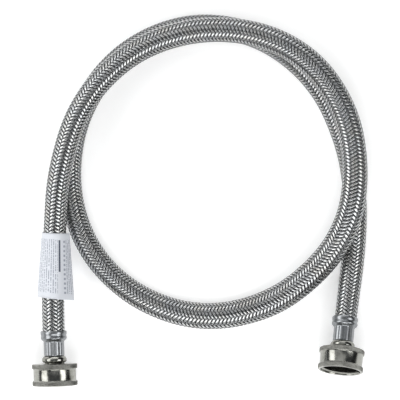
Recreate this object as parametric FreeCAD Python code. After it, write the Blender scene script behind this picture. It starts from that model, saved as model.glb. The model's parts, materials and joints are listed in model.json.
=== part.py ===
import FreeCAD, Part
import math
import os

# A 4 ft stainless braided supply line: 3/8 in bore hose with a 3/4 in garden-hose-thread swivel nut
# on each end. It lies on the plane z = 0 in one and a half turns. The first turn starts at the inlet
# end and lies on top of the second. +X runs from the inlet nut towards the outlet nut, +Y from the
# nuts towards the loop, +Z up. The origin is on the plane, midway between the two end fittings.
# Everything is in millimetres. Heights along a fitting are counted from the nut's mouth to the hose.

Vector = FreeCAD.Vector

# Hose
hose_radius = 7.75
braid_thickness = 0.5
bore_radius = 4.75
liner_radius = hose_radius - braid_thickness

# Crimped ends of the hose, squeezed between the stem's barbs and the ferrule
hose_end = 21.3
crimp_end = 31.0
flare_end = 33.5
crimp_hose_radius = 6.6
crimp_liner_radius = crimp_hose_radius - braid_thickness

# Ferrule: a stainless sleeve with a rolled front lip and a belled mouth round the hose
ferrule_front = 20.3
ferrule_mouth = 37.5
ferrule_wall = 0.5
ferrule_radius = crimp_hose_radius + ferrule_wall
bell_radius = 9.0
bell_waist_radius = 8.75
bell_inner_radius = 8.35

# Stem: nickel-plated brass, with the flange that holds the nut, a neck, a bead and a barbed tail
flange_front = 10.8
flange_back = 12.1
flange_radius = 11.6
neck_radius = 6.8
bead_front = 15.7
bead_crest = 18.2
bead_radius = 8.55
stem_groove_radius = 5.0
stem_tail_end = 36.5
stem_tip_radius = 4.35
stem_bore_radius = 3.9
barb_radius = 5.2
barb_starts = (22.5, 25.3, 28.1)
barb_length = 2.4

# Swivel nut: two knurled rims with a plain waist, 3/4-11.5 garden hose thread inside
nut_length = 15.0
rim_radius = 15.5
rim_width = 3.5
rim_chamfer = 0.4
waist_radius = 14.75
thread_radius = 12.25
thread_end = 7.2
mouth_chamfer = 1.1
relief_radius = 13.1
relief_start = 7.5
back_wall = 2.2
swivel_clearance = 0.08

# Sealing washer: 1 in across, 5/8 in hole
washer_front = 7.6
washer_back = 10.1
washer_radius = 12.7
washer_hole_radius = 7.95

# Paper label: wrapped loosely round the hose near the inlet end, its two ends stuck into a flag
label_thickness = 0.3
label_bottom = Vector(-100.1, 36.0, 15.6)
label_top = Vector(-98.9, 81.0, 17.2)
label_bottom_radius = 9.8
label_top_radius = 8.7
label_bottom_reach = 15.1
label_top_reach = 10.6

# Route of the hose's centre line, from inside the inlet ferrule to inside the outlet ferrule.
# The first and last runs lie on the axes of the two end fittings.
hose_route = [
    Vector(-99.0, -2.5, 15.5),     # inlet ferrule
    Vector(-100.4, 45.0, 15.5),
    Vector(-98.5, 84.0, 17.2),
    Vector(-96.0, 123.0, 23.1),    # first turn, resting on the second
    Vector(-82.5, 169.5, 23.8),
    Vector(-48.5, 205.5, 23.8),
    Vector(-4.0, 221.0, 23.8),
    Vector(42.0, 218.5, 23.8),
    Vector(79.0, 198.5, 23.8),
    Vector(102.5, 164.0, 23.8),
    Vector(108.8, 126.0, 24.0),
    Vector(104.0, 90.0, 23.7),
    Vector(85.5, 59.0, 15.2),      # down off the outlet tail on to the plane
    Vector(50.0, 31.5, 7.75),
    Vector(3.0, 21.5, 7.75),
    Vector(-42.5, 35.5, 7.75),
    Vector(-76.5, 67.5, 7.75),
    Vector(-91.0, 113.0, 7.75),    # second turn, under the first
    Vector(-83.5, 165.0, 7.75),
    Vector(-53.0, 205.5, 7.75),
    Vector(-6.0, 225.5, 7.75),
    Vector(43.5, 217.0, 7.75),
    Vector(82.5, 187.0, 7.75),
    Vector(102.5, 144.0, 7.75),
    Vector(108.5, 104.0, 7.75),
    Vector(106.5, 68.0, 7.75),     # outlet tail
    Vector(101.9, 32.0, 7.75),
    Vector(99.2, 7.0, 14.3),       # outlet ferrule
]
arc_share = 0.45


def unit(vector):
    return vector * (1.0 / vector.Length)


def point(radius, height):
    return Vector(radius, 0, height)


def line(start, end):
    return Part.LineSegment(start, end).toShape()


def turned(edges):
    """Solid of revolution about +Z of a closed outline in the XZ plane."""
    face = Part.Face(Part.Wire(Part.__sortEdges__(edges)))
    return face.revolve(Vector(0, 0, 0), Vector(0, 0, 1), 360)


def polygon_edges(corners):
    """Straight edges through (radius, height) corners, left open at the ends."""
    points = [point(radius, height) for radius, height in corners]
    return [line(start, end) for start, end in zip(points, points[1:])]


def turned_polygon(corners):
    return turned(polygon_edges(corners + corners[:1]))


def bulge(start, crest, end):
    """An arc through three (radius, height) points."""
    return Part.Arc(point(*start), point(*crest), point(*end)).toShape()


def end_frame(end_point, next_point):
    """Placement that puts a fitting's mouth-to-hose axis along a run of the route."""
    towards_hose = unit(next_point - end_point)
    mouth = end_point - towards_hose * hose_end
    return FreeCAD.Placement(mouth, FreeCAD.Rotation(Vector(0, 0, 1), towards_hose))


def moved(shape, frame):
    copy = shape.copy()
    copy.Placement = frame.multiply(copy.Placement)
    return copy


def route_arc(before, corner, after):
    """Tangent arc at a corner: its start, middle and end points and its radius."""
    shorter_run = min((before - corner).Length, (after - corner).Length)
    tangent = arc_share * shorter_run
    to_before = unit(before - corner)
    to_after = unit(after - corner)
    half_turn = (math.pi - to_before.getAngle(to_after)) / 2
    radius = tangent / math.tan(half_turn)
    inwards = unit(to_before + to_after)
    middle = corner + inwards * (radius / math.cos(half_turn) - radius)
    return corner + to_before * tangent, middle, corner + to_after * tangent, radius


def hose_path():
    """Straight runs joined by tangent arcs, between the flared ends of the crimps."""
    flare = flare_end - hose_end
    start = hose_route[0] + unit(hose_route[1] - hose_route[0]) * flare
    finish = hose_route[-1] + unit(hose_route[-2] - hose_route[-1]) * flare
    edges = []
    radii = []
    last = start
    for before, corner, after in zip(hose_route, hose_route[1:], hose_route[2:]):
        arc_start, arc_middle, arc_end, radius = route_arc(before, corner, after)
        edges.append(line(last, arc_start))
        edges.append(Part.Arc(arc_start, arc_middle, arc_end).toShape())
        radii.append(radius)
        last = arc_end
    edges.append(line(last, finish))
    print("bend radii:", ", ".join(f"{radius:.0f}" for radius in radii))
    return Part.Wire(edges)


def swept_rod(path, radius):
    start = path.Edges[0].Vertexes[0].Point
    direction = unit(path.Edges[0].Vertexes[-1].Point - start)
    disc = Part.Face(Part.Wire(Part.makeCircle(radius, start, direction)))
    return path.makePipe(disc)


def swept_tube(path, outer_radius, inner_radius):
    tube = swept_rod(path, outer_radius).cut(swept_rod(path, inner_radius))
    section = math.pi * (outer_radius ** 2 - inner_radius ** 2)
    print(f"tube {tube.Volume:.0f} mm3, section times length {section * path.Length:.0f} mm3")
    return tube


def stem():
    """Flange, neck, bead and barbed tail, bored through for the water."""
    outline = [(stem_bore_radius, flange_front), (flange_radius, flange_front)]
    outline += [(flange_radius, flange_back), (neck_radius, flange_back), (neck_radius, bead_front)]
    edges = polygon_edges(outline)
    bead_end = (ferrule_radius - 0.2, ferrule_front)
    edges.append(bulge((neck_radius, bead_front), (bead_radius, bead_crest), bead_end))
    tail = [bead_end, (stem_groove_radius, ferrule_front), (stem_groove_radius, hose_end)]
    tail.append((bore_radius, hose_end))
    for start in barb_starts:
        tail += [(bore_radius, start), (barb_radius, start), (bore_radius, start + barb_length)]
    tail += [(bore_radius, flare_end), (stem_tip_radius, stem_tail_end)]
    tail += [(stem_bore_radius, stem_tail_end), (stem_bore_radius, flange_front)]
    return turned(edges + polygon_edges(tail))


def ferrule():
    """Front lip in the stem's groove, crimped body, and a bell with two rounded swellings."""
    lip_back = ferrule_front + ferrule_wall
    bell_foot = crimp_end + 0.8
    bell_middle = (bell_waist_radius, (bell_foot + ferrule_mouth) / 2)
    outside = [(stem_groove_radius, ferrule_front), (ferrule_radius, ferrule_front)]
    outside += [(ferrule_radius, crimp_end - 0.4), (bell_waist_radius, bell_foot)]
    edges = polygon_edges(outside)
    edges.append(bulge(outside[-1], (bell_radius, (bell_foot + bell_middle[1]) / 2), bell_middle))
    bell_edge = (bell_waist_radius, ferrule_mouth)
    edges.append(bulge(bell_middle, (bell_radius, (bell_middle[1] + ferrule_mouth) / 2), bell_edge))
    inside = [bell_edge, (bell_inner_radius, ferrule_mouth), (bell_inner_radius, bell_foot + 0.5)]
    inside += [(crimp_hose_radius, crimp_end), (crimp_hose_radius, lip_back)]
    inside += [(stem_groove_radius, lip_back), (stem_groove_radius, ferrule_front)]
    return turned(edges + polygon_edges(inside))


def nut():
    """Rimmed swivel nut: thread at its crests, a relief for the washer and flange, a back wall."""
    wall_front = nut_length - back_wall
    hole_radius = neck_radius + swivel_clearance
    rim_back = nut_length - rim_width
    return turned_polygon([
        (thread_radius + mouth_chamfer, 0),
        (rim_radius - rim_chamfer, 0),
        (rim_radius, rim_chamfer),
        (rim_radius, rim_width - rim_chamfer),
        (waist_radius, rim_width),
        (waist_radius, rim_back),
        (rim_radius, rim_back + rim_chamfer),
        (rim_radius, nut_length - rim_chamfer),
        (rim_radius - rim_chamfer, nut_length),
        (hole_radius, nut_length),
        (hole_radius, wall_front),
        (relief_radius, wall_front),
        (relief_radius, relief_start),
        (thread_radius, thread_end),
        (thread_radius, mouth_chamfer),
    ])


def washer():
    return turned_polygon([
        (washer_hole_radius, washer_front),
        (washer_radius, washer_front),
        (washer_radius, washer_back),
        (washer_hole_radius, washer_back),
    ])


def hose_end_piece(outer_radius, inner_radius, crimp_radius, crimp_inner_radius):
    """The crimped and flared end of one layer of the hose."""
    return turned_polygon([
        (crimp_inner_radius, hose_end),
        (crimp_radius, hose_end),
        (crimp_radius, crimp_end),
        (outer_radius, flare_end),
        (inner_radius, flare_end),
        (crimp_inner_radius, crimp_end),
    ])


def hose_layer(path, frames, radii, crimp_radii, core):
    """One layer of the hose, end to end, with the core taken out of its crimped ends."""
    layer = swept_tube(path, *radii)
    for frame in frames:
        end = hose_end_piece(*radii, *crimp_radii)
        if core:
            end = end.cut(core)
        layer = layer.fuse(moved(end, frame))
    return layer


def teardrop(centre, along, radius, reach):
    """Round loop that closes on a straight flag towards +X, square to the hose."""
    sideways = unit(Vector(1, 0, 0) - along * along.x)
    upwards = sideways.cross(along) * -1
    tangent_angle = math.acos(radius / reach)
    tip = centre + sideways * reach
    upper = centre + (sideways * math.cos(tangent_angle) + upwards * math.sin(tangent_angle)) * radius
    lower = centre + (sideways * math.cos(tangent_angle) - upwards * math.sin(tangent_angle)) * radius
    back = centre - sideways * radius
    return Part.Wire([line(tip, upper), Part.Arc(upper, back, lower).toShape(), line(lower, tip)])


def label():
    along = unit(label_top - label_bottom)

    def bag(inset):
        bottom = teardrop(label_bottom, along, label_bottom_radius - inset, label_bottom_reach - 2 * inset)
        top = teardrop(label_top, along, label_top_radius - inset, label_top_reach - 2 * inset)
        return Part.makeLoft([bottom, top], True, True)

    return bag(0).cut(bag(label_thickness))


def export(name, shape):
    solids = shape.Solids
    assert len(solids) == 1 and solids[0].isValid(), name
    solids[0].exportStep(f"parts/{name}.step")
    print(f"{name}: {solids[0].Volume / 1000:.2f} cm3")


def main():
    os.makedirs("parts", exist_ok=True)
    frames = {
        "inlet": end_frame(hose_route[0], hose_route[1]),
        "outlet": end_frame(hose_route[-1], hose_route[-2]),
    }
    for end, frame in frames.items():
        print(end, "mouth at", frame.Base, "axis out", frame.Rotation.multVec(Vector(0, 0, -1)))
        for name, make in (("nut", nut), ("washer", washer), ("stem", stem), ("ferrule", ferrule)):
            export(f"{end}_{name}", moved(make(), frame))
    path = hose_path()
    print(f"hose length {path.Length + 2 * (flare_end - hose_end):.0f} mm")
    ends = list(frames.values())
    braid_radii = (hose_radius, liner_radius)
    braid_crimp = (crimp_hose_radius, crimp_liner_radius)
    export("braid_sleeve", hose_layer(path, ends, braid_radii, braid_crimp, None))
    liner_radii = (liner_radius, bore_radius)
    liner_crimp = (crimp_liner_radius, bore_radius)
    export("rubber_liner", hose_layer(path, ends, liner_radii, liner_crimp, stem()))
    export("paper_label", label())


main()
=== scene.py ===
import json
import math

import bmesh
import bpy
import numpy as np
from mathutils import Matrix, Vector


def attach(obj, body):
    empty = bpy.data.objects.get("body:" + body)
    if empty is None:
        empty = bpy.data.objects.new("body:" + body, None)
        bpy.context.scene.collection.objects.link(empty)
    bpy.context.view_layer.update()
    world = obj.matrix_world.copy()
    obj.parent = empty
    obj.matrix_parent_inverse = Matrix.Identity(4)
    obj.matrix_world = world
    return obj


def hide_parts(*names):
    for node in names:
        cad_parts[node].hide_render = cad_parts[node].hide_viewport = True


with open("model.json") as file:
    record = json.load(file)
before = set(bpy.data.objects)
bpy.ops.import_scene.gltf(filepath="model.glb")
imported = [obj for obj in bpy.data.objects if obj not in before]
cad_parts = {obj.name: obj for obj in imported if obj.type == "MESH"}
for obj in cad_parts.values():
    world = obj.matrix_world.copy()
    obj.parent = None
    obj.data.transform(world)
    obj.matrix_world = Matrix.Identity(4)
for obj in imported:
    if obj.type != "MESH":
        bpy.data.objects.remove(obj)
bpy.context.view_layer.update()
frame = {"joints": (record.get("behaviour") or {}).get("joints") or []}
mm = 0.001
fullTurn = 2 * math.pi


# Small helpers

def linear(hexCode):  # sRGB hex to the linear colour, with its alpha, that sockets take
    channels = [int(hexCode[i:i + 2], 16) / 255 for i in (1, 3, 5)]
    return [c / 12.92 if c <= 0.04045 else ((c + 0.055) / 1.055) ** 2.4 for c in channels] + [1.0]


def addNode(tree, kind, settings=None, links=None):
    node = tree.nodes.new(kind)
    for name, value in (settings or {}).items():
        if isinstance(name, int) or name in node.inputs:
            node.inputs[name].default_value = value
        else:
            setattr(node, name, value)
    for name, source in (links or {}).items():
        tree.links.new(source, node.inputs[name])
    return node


def newMaterial(name):
    material = bpy.data.materials.new(name)
    material.use_nodes = True
    material.node_tree.nodes.clear()
    return material, material.node_tree


def finishMaterial(tree, shader):
    addNode(tree, "ShaderNodeOutputMaterial", links={"Surface": shader.outputs["BSDF"]})


def setRamp(ramp, stops):  # stops are (position, hex colour)
    elements = ramp.color_ramp.elements
    while len(elements) > 1:
        elements.remove(elements[-1])
    elements[0].position, elements[0].color = stops[0][0], linear(stops[0][1])
    for position, colour in stops[1:]:
        elements.new(position).color = linear(colour)


def makeObject(name, mesh, material, body):
    piece = bpy.data.objects.new(name, mesh)
    bpy.context.scene.collection.objects.link(piece)
    piece.data.materials.append(material)
    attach(piece, body)
    return piece


# Materials

braidLook = {
    "bright": "#BFC0C0",
    "warm": "#B9B8B5",
    "cool": "#B6B8BA",
    "diveShade": "#666869",           # painted shade where a strand goes down under the next
    "diveShadeRange": (0.42, 0.97),   # rise at which the painted shade is full, and gone
    "joint": "#5A5C5D",          # painted shade along a strand's edges, in the gaps between strands
    "jointShadeRange": (0.02, 0.17),  # share of its width, in from the edge
    "roughness": 0.27,
    "wires": 7,                  # wires side by side in a strand
    "wireHeight": 0.018,         # mm
    "wireBump": 0.5,
    "patch": 9.0,                # mm, size of the warm and cool patches
}


def stainlessBraidMaterial():
    # 304 stainless wire, drawn bright and braided: the eye sees short glints across round wires;
    # the base colour has painted shade where one strand dives under the next, and along each strand's
    # edges
    material, tree = newMaterial("drawnStainlessWireBraid")
    uv = addNode(tree, "ShaderNodeUVMap", {"uv_map": "UVMap"})
    parts = addNode(tree, "ShaderNodeSeparateXYZ", links={"Vector": uv.outputs["UV"]})
    across = parts.outputs["X"]
    wave = addNode(tree, "ShaderNodeMath", {"operation": "MULTIPLY", 1: braidLook["wires"] * math.pi},
                   {0: across})
    sine = addNode(tree, "ShaderNodeMath", {"operation": "SINE"}, {0: wave.outputs[0]})
    wires = addNode(tree, "ShaderNodeMath", {"operation": "ABSOLUTE"}, {0: sine.outputs[0]})
    bump = addNode(tree, "ShaderNodeBump", {"Strength": braidLook["wireBump"],
                                            "Distance": braidLook["wireHeight"] * mm},
                   {"Height": wires.outputs[0]})
    place = addNode(tree, "ShaderNodeTexCoord")
    patches = addNode(tree, "ShaderNodeTexNoise", {"Scale": 1 / (braidLook["patch"] * mm), "Detail": 2.0},
                      {"Vector": place.outputs["Object"]})
    tone = addNode(tree, "ShaderNodeValToRGB", links={"Fac": patches.outputs["Fac"]})
    setRamp(tone, [(0.3, braidLook["cool"]), (0.5, braidLook["bright"]), (0.7, braidLook["warm"])])
    # painted shade: the base colour darkens where a strand dives under the next
    rise = addNode(tree, "ShaderNodeAttribute", {"attribute_name": "rise"})
    darkest, brightest = braidLook["diveShadeRange"]
    clearOfDiveShade = addNode(tree, "ShaderNodeMapRange", {"From Min": darkest, "From Max": brightest},
                   {"Value": rise.outputs["Fac"]})
    steelWithDiveShade = addNode(tree, "ShaderNodeMix", {"data_type": "RGBA"}, {"Factor": clearOfDiveShade.outputs["Result"]})
    steelWithDiveShade.inputs[6].default_value = linear(braidLook["diveShade"])
    tree.links.new(tone.outputs["Color"], steelWithDiveShade.inputs[7])
    # painted shade along each strand's edges, where the gaps between strands lie in shadow
    fromEdge = addNode(tree, "ShaderNodeMath", {"operation": "PINGPONG", 1: 0.5}, {0: across})
    edge, clear = braidLook["jointShadeRange"]
    joint = addNode(tree, "ShaderNodeMapRange", {"From Min": edge, "From Max": clear},
                    {"Value": fromEdge.outputs[0]})
    colour = addNode(tree, "ShaderNodeMix", {"data_type": "RGBA"}, {"Factor": joint.outputs["Result"]})
    colour.inputs[6].default_value = linear(braidLook["joint"])
    tree.links.new(steelWithDiveShade.outputs[2], colour.inputs[7])
    shader = addNode(tree, "ShaderNodeBsdfPrincipled",
                     {"Metallic": 1.0, "Roughness": braidLook["roughness"]},
                     {"Base Color": colour.outputs[2], "Normal": bump.outputs["Normal"]})
    finishMaterial(tree, shader)
    return material


ferruleLook = {
    "bright": "#939597",
    "shade": "#7C7F82",
    "roughness": 0.27,
    "streak": 0.6,        # mm, size of the streaks that drawing leaves
    "dent": 3.0,          # mm, size of the tool marks
    "dentDepth": 0.12,    # mm
    "dentBump": 0.18,
}


def crimpedStainlessMaterial():
    # deep-drawn stainless sleeve squeezed in a die: satin with faint streaks and soft dents
    material, tree = newMaterial("crimpedStainlessSleeve")
    place = addNode(tree, "ShaderNodeTexCoord")
    fine = addNode(tree, "ShaderNodeTexNoise", {"Scale": 1 / (ferruleLook["streak"] * mm), "Detail": 3.0},
                   {"Vector": place.outputs["Object"]})
    dents = addNode(tree, "ShaderNodeTexNoise", {"Scale": 1 / (ferruleLook["dent"] * mm), "Detail": 1.0},
                    {"Vector": place.outputs["Object"]})
    tone = addNode(tree, "ShaderNodeValToRGB", links={"Fac": fine.outputs["Fac"]})
    setRamp(tone, [(0.3, ferruleLook["shade"]), (0.65, ferruleLook["bright"])])
    rough = addNode(tree, "ShaderNodeMapRange", {"To Min": ferruleLook["roughness"] - 0.05,
                                                 "To Max": ferruleLook["roughness"] + 0.12},
                    {"Value": fine.outputs["Fac"]})
    bump = addNode(tree, "ShaderNodeBump", {"Strength": ferruleLook["dentBump"],
                                            "Distance": ferruleLook["dentDepth"] * mm},
                   {"Height": dents.outputs["Fac"]})
    shader = addNode(tree, "ShaderNodeBsdfPrincipled", {"Metallic": 1.0},
                     {"Base Color": tone.outputs["Color"], "Roughness": rough.outputs["Result"],
                      "Normal": bump.outputs["Normal"]})
    finishMaterial(tree, shader)
    return material


nickelLook = {
    "bright": "#979791",
    "tarnish": "#787872",
    "roughness": 0.16,
    "patch": 4.0,         # mm, size of the duller patches
    "grain": 0.25,        # mm, size of the fine marks
}

knurlLook = {
    "bright": "#8C8C87",
    "tarnish": "#696964",
    "roughness": 0.36,
    "patch": 1.2,
    "grain": 0.25,
}


def nickelPlatedBrassMaterial(name, look):
    # turned brass with a thin nickel plate: bright, a little warm, with faint duller patches, and,
    # with the knurl look, darker and rougher where it is knurled
    material, tree = newMaterial(name)
    place = addNode(tree, "ShaderNodeTexCoord")
    patches = addNode(tree, "ShaderNodeTexNoise", {"Scale": 1 / (look["patch"] * mm), "Detail": 4.0},
                      {"Vector": place.outputs["Object"]})
    grain = addNode(tree, "ShaderNodeTexNoise", {"Scale": 1 / (look["grain"] * mm), "Detail": 2.0},
                    {"Vector": place.outputs["Object"]})
    tone = addNode(tree, "ShaderNodeValToRGB", links={"Fac": patches.outputs["Fac"]})
    setRamp(tone, [(0.28, look["tarnish"]), (0.55, look["bright"])])
    rough = addNode(tree, "ShaderNodeMapRange", {"To Min": look["roughness"] - 0.04,
                                                 "To Max": look["roughness"] + 0.1},
                    {"Value": patches.outputs["Fac"]})
    bump = addNode(tree, "ShaderNodeBump", {"Strength": 0.12, "Distance": 0.02 * mm},
                   {"Height": grain.outputs["Fac"]})
    shader = addNode(tree, "ShaderNodeBsdfPrincipled", {"Metallic": 1.0},
                     {"Base Color": tone.outputs["Color"], "Roughness": rough.outputs["Result"],
                      "Normal": bump.outputs["Normal"]})
    finishMaterial(tree, shader)
    return material


rubberLook = {
    "dark": "#141415",
    "dusty": "#2A2A2B",
    "roughness": 0.62,
    "grain": 0.8,         # mm, drawn coarser than the real one so that it shows
}


def mouldedRubberMaterial():
    # black EPDM, moulded and extruded: matt, with a slight dusty bloom
    material, tree = newMaterial("mouldedEpdmRubber")
    place = addNode(tree, "ShaderNodeTexCoord")
    grain = addNode(tree, "ShaderNodeTexNoise", {"Scale": 1 / (rubberLook["grain"] * mm), "Detail": 4.0},
                    {"Vector": place.outputs["Object"]})
    tone = addNode(tree, "ShaderNodeValToRGB", links={"Fac": grain.outputs["Fac"]})
    setRamp(tone, [(0.35, rubberLook["dark"]), (0.75, rubberLook["dusty"])])
    bump = addNode(tree, "ShaderNodeBump", {"Strength": 0.3, "Distance": 0.05 * mm},
                   {"Height": grain.outputs["Fac"]})
    shader = addNode(tree, "ShaderNodeBsdfPrincipled",
                     {"Roughness": rubberLook["roughness"], "IOR": 1.5},
                     {"Base Color": tone.outputs["Color"], "Normal": bump.outputs["Normal"]})
    finishMaterial(tree, shader)
    return material


paperLook = {
    "paper": "#D1D4DA",
    "ink": "#979CA7",
    "boldInk": "#4B5160",
    "lines": 40,                # lines of print round the whole strip
    "lineWidth": 0.45,          # share of a line that is inked
    "words": 50,                # marks along a line
    "wordGap": 0.45,            # share of a line that stays blank between its marks
    "spacing": 17.3,            # sets the marks of one line apart from those of the next
    "blank": (0.15, 0.055),     # share of the way round and half width, without fine print
    "bold": (0.185, 0.012),     # one heavy line
    "boldReach": (0.66, 0.24),  # where it lies along the label, and half its length
    "figures": (0.115, 0.014),  # one line of larger, spaced marks
    "figureStep": 0.035,        # half the distance between two of them
    "figureStart": 0.018,
    "margin": 0.09,             # left blank at both ends
    "fibre": 0.4,               # mm
}


def labelPaperMaterial():
    # coated white label paper, printed in grey: generic marks only, in lines along the hose
    material, tree = newMaterial("printedLabelPaper")
    uv = addNode(tree, "ShaderNodeUVMap", {"uv_map": "UVMap"})
    parts = addNode(tree, "ShaderNodeSeparateXYZ", links={"Vector": uv.outputs["UV"]})
    across, along = parts.outputs["X"], parts.outputs["Y"]
    scaled = addNode(tree, "ShaderNodeMath", {"operation": "MULTIPLY", 1: paperLook["lines"]}, {0: across})
    inLine = addNode(tree, "ShaderNodeMath", {"operation": "FRACT"}, {0: scaled.outputs[0]})
    lineMark = addNode(tree, "ShaderNodeMath", {"operation": "LESS_THAN", 1: paperLook["lineWidth"]},
                       {0: inLine.outputs[0]})
    lineNumber = addNode(tree, "ShaderNodeMath", {"operation": "FLOOR"}, {0: scaled.outputs[0]})
    spread = addNode(tree, "ShaderNodeMath", {"operation": "MULTIPLY", 1: paperLook["spacing"]},
                     {0: lineNumber.outputs[0]})
    steps = addNode(tree, "ShaderNodeMath", {"operation": "MULTIPLY", 1: paperLook["words"]}, {0: along})
    address = addNode(tree, "ShaderNodeCombineXYZ", links={"X": spread.outputs[0], "Y": steps.outputs[0]})
    words = addNode(tree, "ShaderNodeTexNoise", {"Scale": 1.0, "Detail": 1.0},
                    {"Vector": address.outputs["Vector"]})
    wordMark = addNode(tree, "ShaderNodeMath", {"operation": "GREATER_THAN", 1: paperLook["wordGap"]},
                       {0: words.outputs["Fac"]})
    printed = addNode(tree, "ShaderNodeMath", {"operation": "MULTIPLY"},
                      {0: lineMark.outputs[0], 1: wordMark.outputs[0]})
    bands = {}
    for band in ("blank", "bold", "figures"):
        centre, half = paperLook[band]
        bands[band] = addNode(tree, "ShaderNodeMath", {"operation": "COMPARE", 1: centre, 2: half},
                              {0: across}).outputs[0]
    clear = addNode(tree, "ShaderNodeMath", {"operation": "SUBTRACT", 0: 1.0}, {1: bands["blank"]})
    fine = addNode(tree, "ShaderNodeMath", {"operation": "MULTIPLY"},
                   {0: printed.outputs[0], 1: clear.outputs[0]})
    spaced = addNode(tree, "ShaderNodeMath", {"operation": "PINGPONG", 1: paperLook["figureStep"]},
                     {0: along})
    dots = addNode(tree, "ShaderNodeMath", {"operation": "GREATER_THAN", 1: paperLook["figureStart"]},
                   {0: spaced.outputs[0]})
    figures = addNode(tree, "ShaderNodeMath", {"operation": "MULTIPLY_ADD"},
                      {0: bands["figures"], 1: dots.outputs[0], 2: fine.outputs[0]})
    fromEdge = addNode(tree, "ShaderNodeMath", {"operation": "PINGPONG", 1: 0.5}, {0: along})
    margin = addNode(tree, "ShaderNodeMath", {"operation": "GREATER_THAN", 1: paperLook["margin"]},
                     {0: fromEdge.outputs[0]})
    inked = addNode(tree, "ShaderNodeMath", {"operation": "MULTIPLY"},
                    {0: figures.outputs[0], 1: margin.outputs[0]})
    centre, half = paperLook["boldReach"]
    reach = addNode(tree, "ShaderNodeMath", {"operation": "COMPARE", 1: centre, 2: half}, {0: along})
    heavy = addNode(tree, "ShaderNodeMath", {"operation": "MULTIPLY"},
                    {0: bands["bold"], 1: reach.outputs[0]})
    plain = addNode(tree, "ShaderNodeMix", {"data_type": "RGBA"}, {"Factor": inked.outputs[0]})
    plain.inputs[6].default_value = linear(paperLook["paper"])
    plain.inputs[7].default_value = linear(paperLook["ink"])
    colour = addNode(tree, "ShaderNodeMix", {"data_type": "RGBA"}, {"Factor": heavy.outputs[0]})
    tree.links.new(plain.outputs[2], colour.inputs[6])
    colour.inputs[7].default_value = linear(paperLook["boldInk"])
    place = addNode(tree, "ShaderNodeTexCoord")
    fibres = addNode(tree, "ShaderNodeTexNoise", {"Scale": 1 / (paperLook["fibre"] * mm), "Detail": 3.0},
                     {"Vector": place.outputs["Object"]})
    bump = addNode(tree, "ShaderNodeBump", {"Strength": 0.08, "Distance": 0.05 * mm},
                   {"Height": fibres.outputs["Fac"]})
    shader = addNode(tree, "ShaderNodeBsdfPrincipled", {"Roughness": 0.5, "IOR": 1.45},
                     {"Base Color": colour.outputs[2], "Normal": bump.outputs["Normal"]})
    finishMaterial(tree, shader)
    return material


floorLook = {
    "pale": "#F4F4F3",
    "white": "#F8F8F8",
    "roughness": 0.8,
    "glow": 0.3,          # keeps the shadows soft
    "grain": 60.0,        # noise scale, a grain of about 17 mm
}


def floorMaterial():
    # painted board: matt white, with the faintest mottle
    material, tree = newMaterial("matWhiteTable")
    place = addNode(tree, "ShaderNodeTexCoord")
    grain = addNode(tree, "ShaderNodeTexNoise", {"Scale": floorLook["grain"], "Detail": 2.0},
                    {"Vector": place.outputs["Object"]})
    tone = addNode(tree, "ShaderNodeValToRGB", links={"Fac": grain.outputs["Fac"]})
    setRamp(tone, [(0.2, floorLook["pale"]), (0.8, floorLook["white"])])
    shader = addNode(tree, "ShaderNodeBsdfPrincipled",
                     {"Roughness": floorLook["roughness"], "Emission Color": linear("#FFFFFF"),
                      "Emission Strength": floorLook["glow"]},
                     {"Base Color": tone.outputs["Color"]})
    finishMaterial(tree, shader)
    return material


# Camera

view = {
    "height": 2.4,        # straight above the table, in metres
    "centre": (0.001, 0.1035),
    "span": 0.2762,       # table seen from edge to edge
    "nearest": 0.05,
    "farthest": 20,
}


def makeCamera():
    data = bpy.data.cameras.new("camera")
    data.angle = 2 * math.atan(view["span"] / 2 / view["height"])
    data.clip_start = view["nearest"]
    data.clip_end = view["farthest"]
    camera = bpy.data.objects.new("camera", data)
    camera.location = (*view["centre"], view["height"])
    bpy.context.scene.collection.objects.link(camera)
    bpy.context.scene.camera = camera


# Hose and braid, in metres

hose = {
    "length": 1.174,
    "diameter": 0.0155,
    "coreRadius": 0.0070,
    "resolution": 24,        # points of the centre line from one route point to the next
    "coreColumns": 32,
    "coreStep": 0.002,       # from ring to ring
    "crimpRadius": 0.0066,   # outside of the braid under the ferrule
    "crimpEnd": 0.0097,      # from the hose's cut end
    "flareEnd": 0.0122,
    "flattened": [           # share of the length, and how much wider the hose lies there
        (0, 0), (0.02, 0), (0.05, 0.03), (0.13, 0.03), (0.22, 0.12), (0.36, 0.12), (0.41, 0.18),
        (0.47, 0.24), (0.52, 0.16), (0.57, 0.05), (0.64, 0.04), (0.72, 0.1), (0.82, 0.1),
        (0.9, 0.05), (0.95, 0.04), (0.98, 0), (1, 0),
    ],
    "route": [
        (-0.0990, -0.0025, 0.0155),    # inlet ferrule
        (-0.1004, 0.0450, 0.0155),
        (-0.0985, 0.0840, 0.0172),
        (-0.0960, 0.1230, 0.0231),     # first turn, resting on the second
        (-0.0819, 0.1690, 0.0238),
        (-0.0480, 0.2048, 0.0238),
        (-0.0040, 0.2210, 0.0238),
        (0.0420, 0.2185, 0.0238),
        (0.0790, 0.1985, 0.0238),
        (0.1018, 0.1638, 0.0238),
        (0.1083, 0.1260, 0.0240),
        (0.1040, 0.0900, 0.0237),
        (0.0857, 0.0586, 0.0156),      # down off the outlet tail on to the table
        (0.0504, 0.0306, 0.00775),
        (0.0030, 0.0207, 0.00775),
        (-0.0427, 0.0352, 0.00775),
        (-0.0765, 0.0675, 0.00775),
        (-0.0910, 0.1130, 0.00775),    # second turn, under the first
        (-0.0835, 0.1650, 0.00775),
        (-0.0530, 0.2055, 0.00775),
        (-0.0060, 0.2258, 0.00775),
        (0.0438, 0.2178, 0.00775),
        (0.0825, 0.1870, 0.00775),
        (0.1025, 0.1440, 0.00775),
        (0.1085, 0.1040, 0.00775),
        (0.1070, 0.0680, 0.00775),     # outlet tail
        (0.1025, 0.0320, 0.00775),
        (0.0992, 0.0070, 0.0143),      # outlet ferrule
    ],
}


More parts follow.
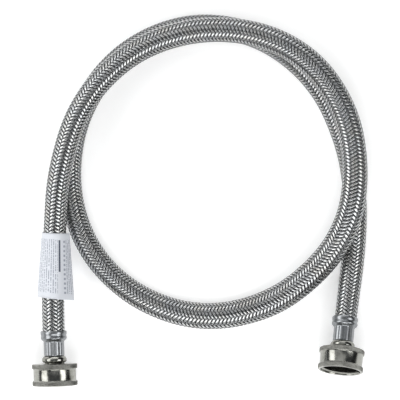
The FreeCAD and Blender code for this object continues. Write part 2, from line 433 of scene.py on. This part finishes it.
def makeRoute():
    curve = bpy.data.curves.new("centreLine", "CURVE")
    curve.dimensions = "3D"
    curve.resolution_u = hose["resolution"]
    spline = curve.splines.new("NURBS")
    spline.points.add(len(hose["route"]) - 1)
    for point, place in zip(spline.points, hose["route"]):
        point.co = (*place, 1.0)
    spline.order_u = 3
    spline.use_endpoint_u = True
    return curve


class Line:  # the hose's centre line as read from its spline, with a frame that doesn't twist
    def __init__(self, curve):
        bare = bpy.data.objects.new("bareLine", curve)
        mesh = bpy.data.meshes.new_from_object(bare)
        self.points = np.array([vert.co for vert in mesh.vertices], float)
        bpy.data.meshes.remove(mesh)
        bpy.data.objects.remove(bare)
        steps = np.linalg.norm(np.diff(self.points, axis=0), axis=1)
        self.along = np.concatenate([[0], np.cumsum(steps)])
        self.length = self.along[-1]
        ahead = np.gradient(self.points, axis=0)
        self.ahead = ahead / np.linalg.norm(ahead, axis=1)[:, None]
        side = np.array([1.0, 0.0, 0.0])
        sides = []
        for direction in self.ahead:
            side = side - direction * (side @ direction)
            side = side / np.linalg.norm(side)
            sides.append(side)
        self.side = np.array(sides)
        self.up = np.cross(self.ahead, self.side)

    def read(self, values, at):
        return np.stack([np.interp(at, self.along, values[:, k]) for k in range(3)], axis=-1)

    def around(self, at, angle, radius):  # points at that distance from the centre line
        outward = self.read(self.side, at) * np.cos(angle)[:, None]
        outward += self.read(self.up, at) * np.sin(angle)[:, None]
        wider = np.interp(at / self.length, *zip(*hose["flattened"]))
        outward[:, :2] *= 1 + wider[:, None]
        return self.read(self.points, at) + outward * radius[:, None]


braid = {
    "carriers": 12,       # strands each way round
    "pitch": 30.5 * mm,   # one turn of a strand
    "width": 1.68 * mm,
    "section": [(-0.5, -1.0), (-0.27, -0.2), (0.0, 0.0), (0.27, -0.2), (0.5, -1.0)],  # width, crown
    "crown": 0.18 * mm,   # how much lower a strand's edges are
    "surface": 7.5 * mm,  # mean distance of a strand's top from the centre line
    "wave": 0.21 * mm,    # how far it rises over and dives under the others
    "steepness": 0.8,     # of the way from over to under
    "phase": 7.5,         # degrees from a crossing to the middle of a rise
    "samples": 64,        # rings in one turn
    "drift": 1.2,         # radians that the pattern creeps round over the whole hose
    "endGap": 0.6 * mm,   # left at both cut ends
}


def braidScale(at, length):  # the braid follows the crimp at both ends
    fromEnd = np.minimum(at, length - at)
    share = np.clip((fromEnd - hose["crimpEnd"]) / (hose["flareEnd"] - hose["crimpEnd"]), 0, 1)
    narrow = hose["crimpRadius"] / (hose["diameter"] / 2)
    return narrow + (1 - narrow) * share * share * (3 - 2 * share)


def makeStrands(name, line, way, first, material):
    lay = math.atan(fullTurn * braid["surface"] / braid["pitch"])   # angle to the hose's axis
    rings = int(line.length / braid["pitch"] * braid["samples"])
    at = np.linspace(braid["endGap"], line.length - braid["endGap"], rings)
    places, cover, heights = [], [], []
    for number in range(first, braid["carriers"], 2):
        angle = way * fullTurn * at / braid["pitch"] + fullTurn * number / braid["carriers"]
        swing = np.cos(braid["carriers"] / 2 * (angle - math.radians(braid["phase"])))
        rise = way * np.tanh(braid["steepness"] * swing) / math.tanh(braid["steepness"])
        turned = angle + braid["drift"] * at / line.length
        for offset, drop in braid["section"]:
            sideways = offset * braid["width"]
            ringAt = np.clip(at - way * sideways * math.sin(lay), 0, line.length)
            ringAngle = turned + sideways * math.cos(lay) / braid["surface"]
            radius = braid["surface"] + rise * braid["wave"] + drop * braid["crown"]
            places.append(line.around(ringAt, ringAngle, radius * braidScale(at, line.length)))
            cover.append(np.stack([np.full(rings, offset + 0.5), at / braid["width"]], axis=-1))
            heights.append(0.5 + 0.5 * rise)
    mesh = buildStrips(name, places, cover, len(braid["section"]))
    mesh.attributes.new("rise", "FLOAT", "POINT").data.foreach_set("value", np.concatenate(heights))
    return makeObject(name, mesh, material, "hose")


def makeCore(line, material):  # the rubber hose under the braid
    rings = int(line.length / hose["coreStep"])
    at = np.linspace(0, line.length, rings)
    radius = hose["coreRadius"] * braidScale(at, line.length)
    places, cover = [], []
    columns = hose["coreColumns"]
    for column in range(columns):
        share = column / columns
        places.append(line.around(at, np.full(rings, share * fullTurn), radius))
        cover.append(np.stack([np.full(rings, share), at], axis=-1))
    mesh = buildStrips("rubberHose", places, cover, columns)
    return makeObject("rubberHose", mesh, material, "hose")


def buildStrips(name, places, cover, columns):  # closed strips, each of so many lines of points
    rings = len(places[0])
    points = np.concatenate(places)
    uvs = np.concatenate(cover)
    faces, caps = [], []
    for strand in range(len(places) // columns):
        base = strand * columns * rings
        for column in range(columns):
            left = base + column * rings
            right = base + (column + 1) % columns * rings
            ring = np.arange(rings - 1)
            quad = [left + ring, right + ring, right + ring + 1, left + ring + 1]
            faces.append(np.stack(quad, axis=-1))
        start = [base + column * rings for column in range(columns)][::-1]
        caps += [start, [corner + rings - 1 for corner in start[::-1]]]
    mesh = bpy.data.meshes.new(name)
    mesh.from_pydata(points.tolist(), [], np.concatenate(faces).tolist() + caps)
    corners = np.empty(len(mesh.loops), int)
    mesh.loops.foreach_get("vertex_index", corners)
    layer = mesh.uv_layers.new(name="UVMap")
    layer.data.foreach_set("uv", uvs[corners].astype(np.float32).ravel())
    mesh.shade_smooth()
    return mesh


def makeHose(materials):
    line = Line(makeRoute())
    print("hose line", round(line.length, 4), "m")
    core = makeCore(line, materials["rubber"])
    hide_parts("rubber_liner")
    strands = []
    for side, way in (("right", 1), ("left", -1)):
        for half in (0, 1):
            name = f"{side}HandStrands{half + 1}"
            strands.append(makeStrands(name, line, way, half, materials["braid"]))
    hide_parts("braid_sleeve")
    return core, strands, line


# Fittings, in millimetres from the nut's mouth (z = 0) towards the hose, then placed on their joint

def placement(end):
    joint = next(j for j in frame["joints"] if j["name"] == f"{end}_nut_swivel")
    towardsHose = -Vector(joint["axis"]).normalized()
    sideways = Vector((1, 0, 0)) - towardsHose * towardsHose.x
    sideways.normalize()
    across = towardsHose.cross(sideways)
    turn = Matrix((sideways, across, towardsHose)).transposed().to_4x4()
    return Matrix.Translation(joint["pos_m"]) @ turn @ Matrix.Scale(mm, 4)


def turnedMesh(outline, steps, closed=True):  # outline is (radius, height, rounding) corners
    bm = bmesh.new()
    corners = [bm.verts.new((radius, 0, height)) for radius, height, rounding in outline]
    ring = corners + corners[:1] if closed else corners
    for pair in zip(ring, ring[1:]):
        bm.edges.new(pair)
    for size in sorted({rounding for radius, height, rounding in outline if rounding}):
        chosen = [vert for vert, corner in zip(corners, outline) if corner[2] == size]
        bmesh.ops.bevel(bm, geom=chosen, offset=size, offset_type="OFFSET", affect="VERTICES",
                        segments=3, profile=0.5, material=-1)
    bmesh.ops.spin(bm, geom=bm.verts[:] + bm.edges[:], cent=(0, 0, 0), axis=(0, 0, 1),
                   angle=fullTurn, steps=steps, use_merge=True)
    bmesh.ops.remove_doubles(bm, verts=bm.verts, dist=0.001)
    bmesh.ops.recalc_face_normals(bm, faces=bm.faces)
    return bm


def placeMesh(name, bm, end, material, body, sharpAngle=35):
    bmesh.ops.transform(bm, matrix=placement(end), verts=bm.verts)
    mesh = bpy.data.meshes.new(name)
    bm.to_mesh(mesh)
    bm.free()
    mesh.shade_smooth()
    mesh.set_sharp_from_angle(angle=math.radians(sharpAngle))
    return makeObject(name, mesh, material, body)


nut = {
    "length": 15.0,
    "rim": 15.5,
    "rimWidth": 3.5,
    "rimEdge": 0.45,        # how far a rim's edges slope in, and where its knurl starts
    "waist": 14.75,
    "threadRoot": 13.6,
    "threadSunk": 0.1,      # the ridge's foot lies that far in the wall
    "threadCrest": 12.3,
    "threadFoot": 1.05,     # half the ridge's width at the wall
    "threadTip": 0.25,      # half its width at the crest
    "threadStart": 1.35,    # middle of the ridge, in from the mouth
    "threadPitch": 2.209,
    "threadTurns": 2.5,
    "threadSteps": 60,      # in one turn
    "teeth": 96,            # knurl teeth round a rim
    "toothRings": 5,
    "toothDepth": 0.3,
    "toothLength": 0.65,
    "relief": 13.1,         # behind the thread, where the washer sits
    "hole": 6.88,
    "wall": 2.2,
}


def makeNut(end, material, knurlMaterial):
    back = nut["length"]
    rimBack = back - nut["rimWidth"]
    edge = nut["rim"] - nut["rimEdge"]
    knurl = [nut["rimEdge"] + nut["toothLength"] * ring for ring in range(nut["toothRings"])]
    outline = [
        (nut["threadRoot"] + 0.15, 0.0, 0.15),
        (edge, 0.0, 0.2),
        *[(nut["rim"], height, 0) for height in knurl],
        (edge, nut["rimWidth"] - 0.1, 0),
        (nut["waist"], nut["rimWidth"] + 0.15, 0.25),
        (nut["waist"], rimBack - 0.15, 0.25),
        (edge, rimBack + 0.1, 0),
        *[(nut["rim"], rimBack + height, 0) for height in knurl],
        (edge, back, 0.2),
        (nut["hole"] + 0.9, back, 0.2),
        (nut["hole"], back - 0.7, 0.2),
        (nut["hole"], back - nut["wall"], 0),
        (nut["relief"], back - nut["wall"], 0.3),
        (nut["relief"], 7.55, 0),
        (nut["threadRoot"], 7.4, 0),
        (nut["threadRoot"], 0.5, 0),
    ]
    bm = turnedMesh(outline, nut["teeth"] * 2)
    slack = 0.1
    for vert in bm.verts:
        radius = math.hypot(vert.co.x, vert.co.y)
        tooth = math.atan2(vert.co.y, vert.co.x) / fullTurn * nut["teeth"] * 2
        ring = (vert.co.z % rimBack - knurl[0]) / nut["toothLength"]
        if radius > nut["rim"] - slack and (round(tooth) + round(ring)) % 2:  # every other corner
            vert.co.x *= 1 - nut["toothDepth"] / radius
            vert.co.y *= 1 - nut["toothDepth"] / radius
    inmost = nut["rim"] - nut["toothDepth"] - slack
    knurled = [face for face in bm.faces
               if all(math.hypot(vert.co.x, vert.co.y) > inmost for vert in face.verts)]
    for face in knurled:
        face.material_index = 1
    bmesh.ops.triangulate(bm, faces=knurled, quad_method="LONG_EDGE", ngon_method="BEAUTY")
    piece = placeMesh(f"{end}Nut", bm, end, material, f"{end}_swivel_nut", 25)
    piece.data.materials.append(knurlMaterial)
    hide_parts(f"{end}_nut")
    makeThread(end, material)


def makeThread(end, material):
    bm = bmesh.new()
    root = nut["threadRoot"] + nut["threadSunk"]
    crest, foot, tip = nut["threadCrest"], nut["threadFoot"], nut["threadTip"]
    section = [(root, -foot), (crest, -tip), (crest, tip), (root, foot)]
    verts = [bm.verts.new((radius, 0, nut["threadStart"] + height)) for radius, height in section]
    edges = [bm.edges.new(pair) for pair in zip(verts, verts[1:] + verts[:1])]
    perTurn = nut["threadSteps"]
    steps = int(nut["threadTurns"] * perTurn)
    bmesh.ops.spin(bm, geom=verts + edges, cent=(0, 0, 0), axis=(0, 0, 1),
                   angle=fullTurn * steps / perTurn, dvec=(0, 0, nut["threadPitch"] / perTurn),
                   steps=steps)
    bm.verts.ensure_lookup_table()
    runOut = perTurn / 6  # the ridge fades in and out over a sixth of a turn
    for number, vert in enumerate(bm.verts):
        step = number // len(section)
        share = min(1, step / runOut, (steps - step) / runOut)
        radius = math.hypot(vert.co.x, vert.co.y)
        wanted = root + (radius - root) * share
        vert.co.x *= wanted / radius
        vert.co.y *= wanted / radius
    bmesh.ops.holes_fill(bm, edges=[edge for edge in bm.edges if edge.is_boundary], sides=4)
    bmesh.ops.recalc_face_normals(bm, faces=bm.faces)
    if bm.calc_volume(signed=True) < 0:  # a thin spiral can come out inside out
        bmesh.ops.reverse_faces(bm, faces=bm.faces)
    placeMesh(f"{end}NutThread", bm, end, material, f"{end}_swivel_nut", 40)


washer = {
    "front": 7.6,
    "back": 10.1,
    "radius": 12.7,
    "hole": 7.95,
    "edge": 0.25,
    "steps": 72,
}


def makeWasher(end, material):
    edge = washer["edge"]
    outline = [
        (washer["hole"], washer["front"], edge),
        (washer["radius"], washer["front"], edge),
        (washer["radius"], washer["back"], edge),
        (washer["hole"], washer["back"], edge),
    ]
    piece = placeMesh(f"{end}Washer", turnedMesh(outline, washer["steps"]), end, material,
                      f"{end}_washer_ring")
    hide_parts(f"{end}_washer")


stem = {
    "outline": [
        (3.9, 10.8, 0.3),      # flange inside the nut
        (11.6, 10.8, 0.2),
        (11.6, 12.1, 0.2),
        (6.8, 12.1, 0),        # neck through the nut's hole
        (6.8, 15.75, 0.1),
        (8.1, 16.25, 0.35),    # bead against the ferrule
        (8.55, 17.0, 0.3),
        (8.55, 18.7, 0.6),
        (7.5, 20.1, 0.3),
        (6.9, 20.3, 0),
        (5.0, 20.3, 0),
        (5.0, 21.3, 0),
    ],
    "barbs": (22.5, 25.3, 28.1),    # where the barbs that grip the hose start
    "barb": [(4.75, 0), (5.2, 0), (4.75, 2.4)],
    "tail": [(4.75, 33.5, 0), (4.35, 36.5, 0), (3.9, 36.5, 0)],
    "steps": 96,
}


def makeStem(end, material):
    barbs = [(radius, start + along, 0) for start in stem["barbs"] for radius, along in stem["barb"]]
    outline = stem["outline"] + barbs + stem["tail"]
    piece = placeMesh(f"{end}Stem", turnedMesh(outline, stem["steps"]), end, material,
                      "hose")
    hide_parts(f"{end}_stem")
    return piece


ferrule = {
    "outline": [
        (5.05, 20.35, 0),      # end plate against the stem's bead
        (6.6, 20.35, 0.3),
        (7.1, 20.9, 0.3),      # crimped sleeve
        (7.1, 30.4, 0.5),
        (8.35, 31.5, 0.5),     # belled mouth, with a groove
        (8.95, 32.3, 0.35),
        (8.95, 33.3, 0.5),
        (8.62, 34.4, 0.6),
        (8.98, 35.4, 0.5),
        (8.98, 37.0, 0.4),
        (8.7, 37.5, 0.1),
        (8.4, 37.5, 0.1),
        (8.3, 32.2, 0.3),      # and back along the inside
        (6.65, 31.0, 0),
        (6.65, 20.85, 0),
        (5.05, 20.85, 0),
    ],
    "steps": 128,
    "crimps": 10,
    "crimpDepth": 0.28,
    "crimped": (20.8, 31),     # where the flutes start and end
    "crimpInside": 6.9,        # points nearer the axis stay round
}


def makeFerrule(end, material):
    bm = turnedMesh(ferrule["outline"], ferrule["steps"])
    start, stop = ferrule["crimped"]
    for vert in bm.verts:
        radius = math.hypot(vert.co.x, vert.co.y)
        if radius > ferrule["crimpInside"] and start < vert.co.z < stop:
            turn = math.atan2(vert.co.y, vert.co.x) * ferrule["crimps"]
            inwards = ferrule["crimpDepth"] * (0.5 - 0.5 * math.cos(turn)) ** 2
            vert.co.x *= 1 - inwards / radius
            vert.co.y *= 1 - inwards / radius
    piece = placeMesh(f"{end}Ferrule", bm, end, material, "hose", 50)
    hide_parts(f"{end}_ferrule")
    return piece


# Label

label = {
    "bottom": Vector((-0.1005, 0.0361, 0.0156)),  # middle of the hose at the lower edge, in metres
    "top": Vector((-0.0989, 0.0810, 0.0172)),
    "bottomRadius": 10.0,    # mm, of the wrap round the hose
    "topRadius": 8.55,
    "bottomReach": 15.3,     # mm, from the hose's middle to the flag's tip
    "topReach": 10.4,
    "slant": 1.1,            # mm, how far the lower edge runs down towards the flag
    "slantFrom": 0.2,        # share of the reach where it starts to
    "thickness": 0.25,       # mm
    "lap": 0.002,            # share of the way round left open at the flag's tip
    "flat": (0.068, 0.045),  # the strip before it is wrapped: round the hose and along it, in metres
    "area": 0.0028,          # its upper edge is shorter
    "rows": 24,
    "columns": 96,
}


def teardropPoint(share, radius, reach):  # share runs round from the flag's tip and back to it
    tangent = math.acos(radius / reach)
    straight = math.sqrt(reach * reach - radius * radius)
    arc = radius * (fullTurn - 2 * tangent)
    distance = share * (arc + 2 * straight)
    upper = distance < straight
    if upper or distance > straight + arc:
        left = distance if upper else arc + 2 * straight - distance
        part = left / straight
        height = radius * math.sin(tangent) * part
        return reach + (radius * math.cos(tangent) - reach) * part, height if upper else -height
    angle = tangent + (distance - straight) / radius
    return radius * math.cos(angle), radius * math.sin(angle)


def makeLabel(material):
    along = label["top"] - label["bottom"]
    direction = along.normalized()
    sideways = Vector((1, 0, 0)) - direction * direction.x
    sideways.normalize()
    upwards = sideways.cross(direction)
    bm = bmesh.new()
    bm.loops.layers.uv.new("UVMap")
    bmesh.ops.create_grid(bm, x_segments=label["columns"], y_segments=label["rows"], size=0.5,
                          calc_uvs=True)
    for vert in bm.verts:
        share = vert.co.x + 0.5
        height = vert.co.y + 0.5
        radius = label["bottomRadius"] + (label["topRadius"] - label["bottomRadius"]) * height
        reach = label["bottomReach"] + (label["topReach"] - label["bottomReach"]) * height
        x, z = teardropPoint(min(1 - label["lap"], max(label["lap"], share)), radius, reach)
        drop = label["slant"] * (x / reach - label["slantFrom"]) * (1 - height)
        vert.co = label["bottom"] + along * height + (sideways * x + upwards * z - direction * drop) * mm
    mesh = bpy.data.meshes.new("paperLabel")
    bm.to_mesh(mesh)
    bm.free()
    mesh.shade_smooth()
    piece = makeObject("paperLabel", mesh, material, "hose")
    shell = piece.modifiers.new("thickness", "SOLIDIFY")
    shell.thickness = label["thickness"] * mm
    shell.offset = 0
    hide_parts("paper_label")
    return piece


# Table and light

studio = {
    "tableReach": 1.6,    # metres from its middle to its edges
    "overhead": "#56595C",
    "horizon": "#222426",
    "aim": (0, 0.1, 0),   # where all the lights point
    "light": "#FFFFFF",
    "lights": [  # name, place, size across and along, power
        ("leftSoftbox", (-0.98, 0.25, 0.68), (1.6, 0.66), 11.6),
        ("rightSoftbox", (0.86, -0.2, 0.92), (0.8, 0.6), 6.5),
        ("frontSoftbox", (0.0, -0.66, 0.98), (0.8, 0.8), 7),
        ("backSoftbox", (0.0, 1.2, 0.55), (1.3, 0.4), 5),
        ("lowFrontStrip", (0.0, -1.4, 0.2), (1.2, 0.22), 2.5),
        ("overheadCard", (-0.1, 0.8, 1.25), (1.6, 0.7), 2.6),
    ],
}


def makeStudio(material):
    bm = bmesh.new()
    bmesh.ops.create_grid(bm, x_segments=2, y_segments=2, size=studio["tableReach"])
    mesh = bpy.data.meshes.new("table")
    bm.to_mesh(mesh)
    bm.free()
    table = bpy.data.objects.new("table", mesh)
    table.data.materials.append(material)
    bpy.context.scene.collection.objects.link(table)
    world = bpy.data.worlds.new("studio")
    world.use_nodes = True
    tree = world.node_tree
    place = addNode(tree, "ShaderNodeTexCoord")
    parts = addNode(tree, "ShaderNodeSeparateXYZ", links={"Vector": place.outputs["Generated"]})
    sky = addNode(tree, "ShaderNodeValToRGB", links={"Fac": parts.outputs["Z"]})
    setRamp(sky, [(0.15, studio["horizon"]), (0.9, studio["overhead"])])
    tree.links.new(sky.outputs["Color"], tree.nodes["Background"].inputs["Color"])
    bpy.context.scene.world = world
    for name, place, size, power in studio["lights"]:
        data = bpy.data.lights.new(name, "AREA")
        data.shape = "RECTANGLE"
        data.size, data.size_y = size
        data.energy = power
        data.color = linear(studio["light"])[:3]
        lamp = bpy.data.objects.new(name, data)
        lamp.location = place
        aim = Vector(studio["aim"]) - Vector(place)
        lamp.rotation_euler = aim.to_track_quat("-Z", "Y").to_euler()
        bpy.context.scene.collection.objects.link(lamp)
    bpy.context.scene.view_settings.view_transform = "Standard"


def main():
    makeCamera()
    materials = {
        "braid": stainlessBraidMaterial(),
        "ferrule": crimpedStainlessMaterial(),
        "nickel": nickelPlatedBrassMaterial("nickelPlatedBrass", nickelLook),
        "knurl": nickelPlatedBrassMaterial("knurledNickelPlate", knurlLook),
        "rubber": mouldedRubberMaterial(),
        "paper": labelPaperMaterial(),
    }
    core, strands, line = makeHose(materials)
    print("hose and braid made")
    for end in ("inlet", "outlet"):
        makeNut(end, materials["nickel"], materials["knurl"])
        makeWasher(end, materials["rubber"])
        makeStem(end, materials["nickel"])
        makeFerrule(end, materials["ferrule"])
    print("fittings made")
    paper = makeLabel(materials["paper"])
    makeStudio(floorMaterial())
    print("table and light made")


main()
